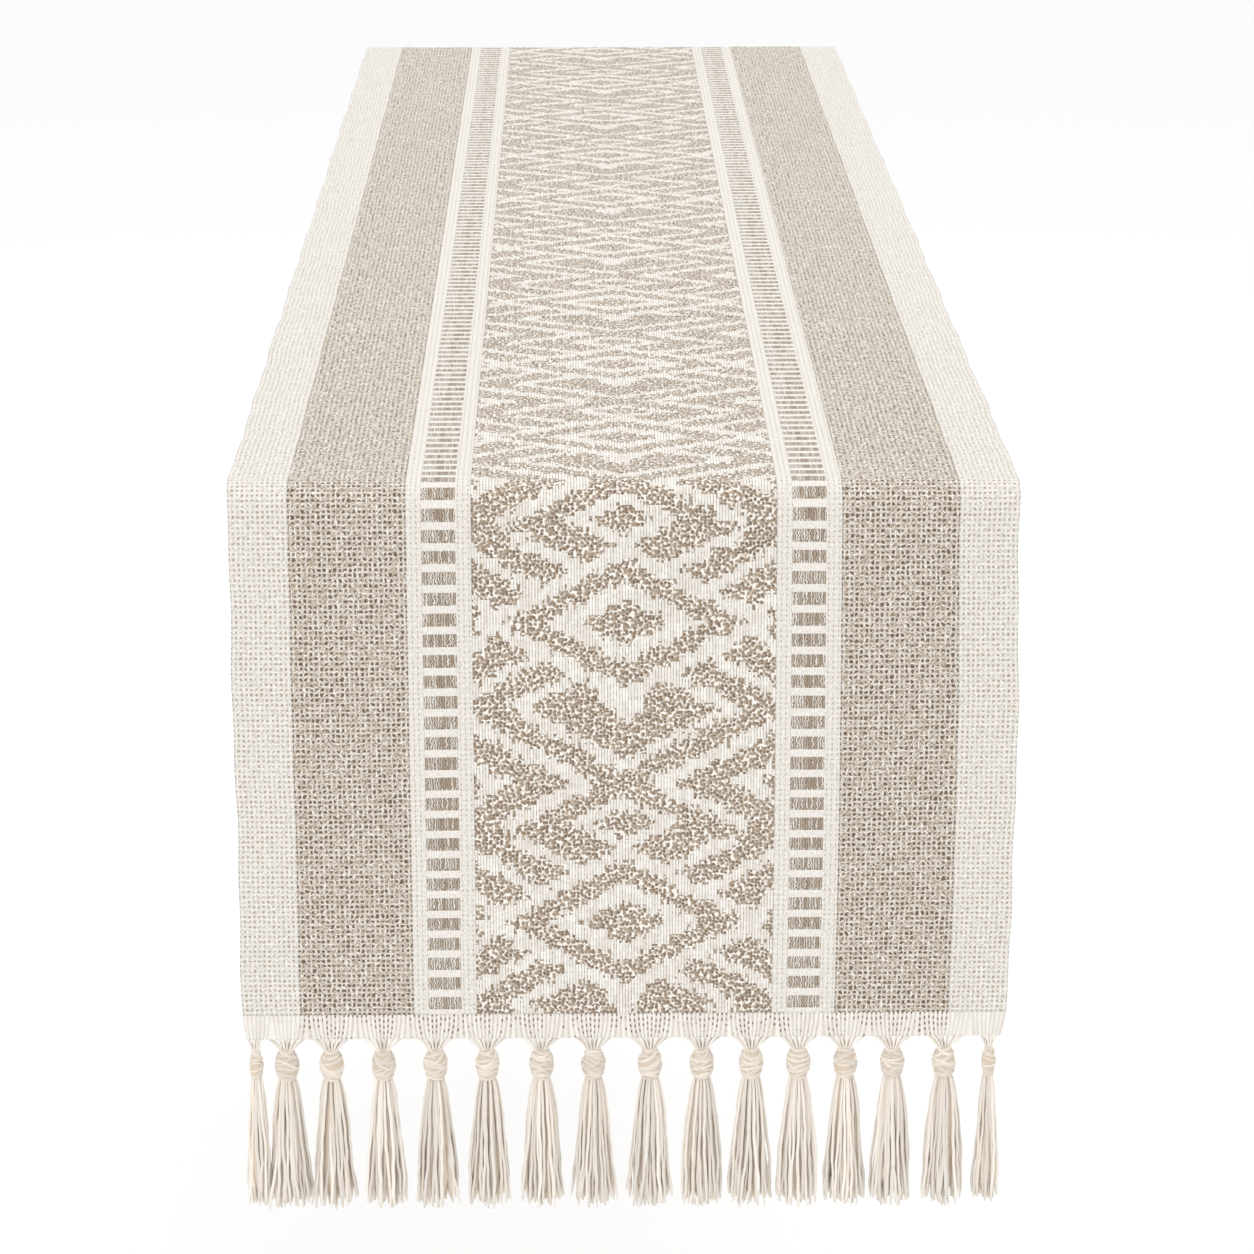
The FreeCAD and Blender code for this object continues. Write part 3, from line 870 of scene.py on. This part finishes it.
def wind_head(bundle, centre, head_top, size, count, rng):
    """A core, and turns of yarn round it that slant one way and the other."""
    x, y = centre
    t = np.linspace(0, 1, 11)
    axis = np.stack([np.full(11, x), np.full(11, y), head_top - t * HEAD_HEIGHT], -1)
    # The core is painted with shade, so that the gaps between the windings show dark.
    bundle.add(axis, girth(size, t) * 0.95, 18, 0.35, 0.62, 1)
    turns = np.linspace(0, 2 * math.pi, 29)
    for n in range(count):
        place = (n + 0.5) / count
        loose = math.sin(math.pi * place) ** 0.5
        tilt = (0.19 if n % 2 else -0.15) * loose + rng.normal(0, 0.06) * loose
        angle = turns + rng.random() * 2 * math.pi
        down = np.clip(place + tilt * np.cos(turns), 0.04, 0.96)
        radius = size["winding"] * rng.uniform(0.85, 1.15)
        reach = girth(size, down) - radius * 0.55 + 0.00016 * rng.random()
        path = np.stack([x + reach * np.cos(angle), y + reach * np.sin(angle),
                         head_top - down * HEAD_HEIGHT], -1)
        # Each winding is painted with a little shade, of a random amount.
        bundle.add(path, np.full(29, radius), 7, rng.random(), 0.16 * rng.random(), 1)


def wave(t, slow, quick, rng):
    return np.sin(t * rng.uniform(slow, quick) + rng.uniform(0, 6.3))


def hang_skirt(bundle, centre, neck, drop, skirt_foot, foot, count, strand_radius, rng):
    """Loose yarns that spread from the head's foot round a shaded core, a few of them straying."""
    x, y = centre
    t = np.linspace(0, 1, 13) ** 1.3
    core = np.stack([np.full(13, x), np.full(13, y), neck + 0.001 - drop * 0.9 * t], -1)
    core_radii = 0.63 * (foot + (skirt_foot - foot) * t ** FLARE) * np.interp(t, (0.9, 1), (1, 0.8))
    bundle.add(core, core_radii, 14, 0.4, 0.55)
    for n in range(count):
        share = math.sqrt((n + 0.7) / count)
        stray = share > 0.75 and rng.random() < 0.09
        angle = n * GOLDEN_ANGLE + rng.normal(0, 0.15)
        inner = share * foot * 0.92
        outer = share * skirt_foot * rng.uniform(0.92, 1.03) * (1.09 if stray else 1.0)
        length_down = drop * rng.uniform(0.945, 1.005)
        reach = inner + (outer - inner) * t ** (1.3 if stray else FLARE)
        bend = t * (0.0008 * wave(t, 4, 9, rng))
        fine = t ** 0.5 * 0.00024 * wave(t, 18, 30, rng)
        sway = t * (0.0007 * wave(t, 4, 8, rng))
        turned = angle + rng.normal(0, 0.12) * t
        path = np.stack([x + reach * np.cos(turned) + bend + fine, y + reach * np.sin(turned) + sway,
                         neck + TUCK - (length_down + TUCK) * t], -1)
        taper = np.interp(t, (0, 0.15, 0.93, 1), (0.55, 1, 1, 0.55))
        radii = strand_radius * rng.uniform(0.85, 1.15) * taper
        # Strands nearer the skirt's middle, and nearer the head, are painted with more shade.
        depth = np.clip(0.80 - 0.80 * share + 0.10 * (1 - t), 0, 0.8)
        bundle.add(path, radii, 6, rng.random(), depth, 0, rng.random())


def tie_tassel(name, box, thin, materials, tassels, rng):
    """Cords gathered under the heading, a wound head and a skirt of loose yarn."""
    low, high = box
    size = THIN if thin else FULL
    centre = (low.x + high.x) / 2, (low.y + high.y) / 2
    head_top = high.z - HEAD_DROP
    neck = head_top - HEAD_HEIGHT
    bundle = Bundle()
    gather_cords(bundle, centre, high.z, head_top, size, round(tassels.cords * size["cords"]), rng)
    wind_head(bundle, centre, head_top, size, round(tassels.windings * size["windings"]), rng)
    hang_skirt(bundle, centre, neck, neck - low.z, (high.x - low.x) / 2 * size["skirt"], size["foot"],
               round(tassels.strands * size["strands"]), tassels.strand_radius, rng)
    return bundle.build(name, materials)


# ---- operators -----------------------------------------------------------------------------------------


class RUNNER_OT_cloth(bpy.types.Operator):
    """Weaves the seven bands of the cloth, in three lengths each"""
    bl_idname = "runner.cloth"
    bl_label = "Weave the Cloth"

    def execute(self, context):
        bpy.ops.object.select_all(action="DESELECT")
        yarn, weave = context.scene.runner_yarn, context.scene.runner_weave
        painters = {"jacquard": paint_jacquard, "ladder": paint_ladder,
                    "taupe": paint_taupe, "cream": paint_cream}
        materials = {kind: cloth_material(f"{kind} cloth", paint(yarn)) for kind, paint in painters.items()}
        for seed, (name, (ends, kind)) in enumerate(BANDS.items()):
            weave_band(name, ends, kind, materials[kind], weave, np.random.default_rng(100 + seed))
        return {"FINISHED"}


class RUNNER_OT_headings(bpy.types.Operator):
    """Weaves the heading at each end of the cloth"""
    bl_idname = "runner.headings"
    bl_label = "Weave the Headings"

    def execute(self, context):
        bpy.ops.object.select_all(action="DESELECT")
        material = cloth_material("heading warp", paint_heading(context.scene.runner_yarn))
        for seed, side in enumerate(("front", "back")):
            weave_heading(side, material, context.scene.runner_weave, np.random.default_rng(200 + seed))
        return {"FINISHED"}


class RUNNER_OT_tassels(bpy.types.Operator):
    """Ties the sixteen tassels at each end"""
    bl_idname = "runner.tassels"
    bl_label = "Tie the Tassels"

    def execute(self, context):
        bpy.ops.object.select_all(action="DESELECT")
        yarn, tassels = context.scene.runner_yarn, context.scene.runner_tassels
        shade = (yarn.taupe[0] * 1.26, yarn.taupe[1] * 1.22, yarn.taupe[2] * 1.16)
        materials = [cloth_material("tassel yarn", paint_strands(yarn.tassel, shade)),
                     cloth_material("wound yarn", paint_strands(yarn.wrap, shade))]
        for side in ("front", "back"):
            for number, _, thin in tassel_places():
                node = f"{side}_tassel_{number:02d}"
                rng = np.random.default_rng(300 + number + (50 if side == "back" else 0))
                piece = tie_tassel(f"{node}_yarn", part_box(node), thin, materials, tassels, rng)
                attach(piece, node)
                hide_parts(node)
        return {"FINISHED"}


class RUNNER_OT_stage(bpy.types.Operator):
    """Sets the floor, the soft lights and the camera"""
    bl_idname = "runner.stage"
    bl_label = "Set the Stage"

    def execute(self, context):
        bpy.ops.object.select_all(action="DESELECT")
        stage = context.scene.runner_stage
        bpy.ops.mesh.primitive_plane_add(size=60, location=(0, 0, -stage.floor))
        floor = context.object
        floor.name = "studio_floor"
        paper = bpy.data.materials.new("studio paper")
        paper.use_nodes = True
        paper.node_tree.nodes["Principled BSDF"].inputs["Base Color"].default_value = (0.95, 0.95, 0.95, 1)
        paper.node_tree.nodes["Principled BSDF"].inputs["Roughness"].default_value = 0.9
        floor.data.materials.append(paper)
        world = bpy.data.worlds.new("studio")
        world.use_nodes = True
        world.node_tree.nodes["Background"].inputs["Color"].default_value = (1.0, 1.0, 1.0, 1)
        world.node_tree.nodes["Background"].inputs["Strength"].default_value = 1.0
        context.scene.world = world
        context.scene.view_settings.view_transform = "Standard"
        for name, place, aim, size, power in (
            ("overhead", (0.5, 0.3, 2.6), (0, 0, 0), 2.4, 19),
            ("front", (-1.7, -3.0, 1.6), (0, -0.6, -0.1), 1.6, 20),
        ):
            light = bpy.data.lights.new(name, "AREA")
            light.size = size
            light.energy = power
            lamp = bpy.data.objects.new(name, light)
            direction = np.subtract(aim, place)
            lamp.location = place
            lamp.rotation_euler = (math.atan2(np.hypot(*direction[:2]), -direction[2]), 0,
                                   math.atan2(-direction[0], direction[1]))
            context.scene.collection.objects.link(lamp)
        lens = bpy.data.cameras.new("camera")
        lens.lens = stage.lens
        lens.sensor_width = 36
        lens.clip_end = 100
        camera = bpy.data.objects.new("camera", lens)
        camera.location = (stage.aside, -HALF_TABLE - TURN_RADIUS - stage.distance, stage.height)
        camera.rotation_euler = (math.pi / 2 - stage.tilt, 0, -stage.pan)
        context.scene.collection.objects.link(camera)
        context.scene.camera = camera
        return {"FINISHED"}


class RUNNER_PT_panel(bpy.types.Panel):
    """Lists the runner's operators and settings"""
    bl_idname = "RUNNER_PT_panel"
    bl_label = "Table Runner"
    bl_space_type = "VIEW_3D"
    bl_region_type = "UI"
    bl_category = "Runner"

    def draw(self, context):
        for operator in OPERATORS:
            self.layout.operator(operator.bl_idname)
        for name, group in GROUPS.items():
            box = self.layout.box()
            for prop in group.__annotations__:
                box.prop(getattr(context.scene, name), prop)


OPERATORS = (RUNNER_OT_cloth, RUNNER_OT_headings, RUNNER_OT_tassels, RUNNER_OT_stage)
CLASSES = (*GROUPS.values(), *OPERATORS, RUNNER_PT_panel)


def register():
    for cls in CLASSES:
        bpy.utils.register_class(cls)
    for name, group in GROUPS.items():
        setattr(bpy.types.Scene, name, PointerProperty(type=group))


def unregister():
    for name in GROUPS:
        delattr(bpy.types.Scene, name)
    for cls in reversed(CLASSES):
        bpy.utils.unregister_class(cls)


def main():
    register()
    bpy.ops.runner.cloth()
    bpy.ops.runner.headings()
    bpy.ops.runner.tassels()
    bpy.ops.runner.stage()


if __name__ == "__main__":
    main()
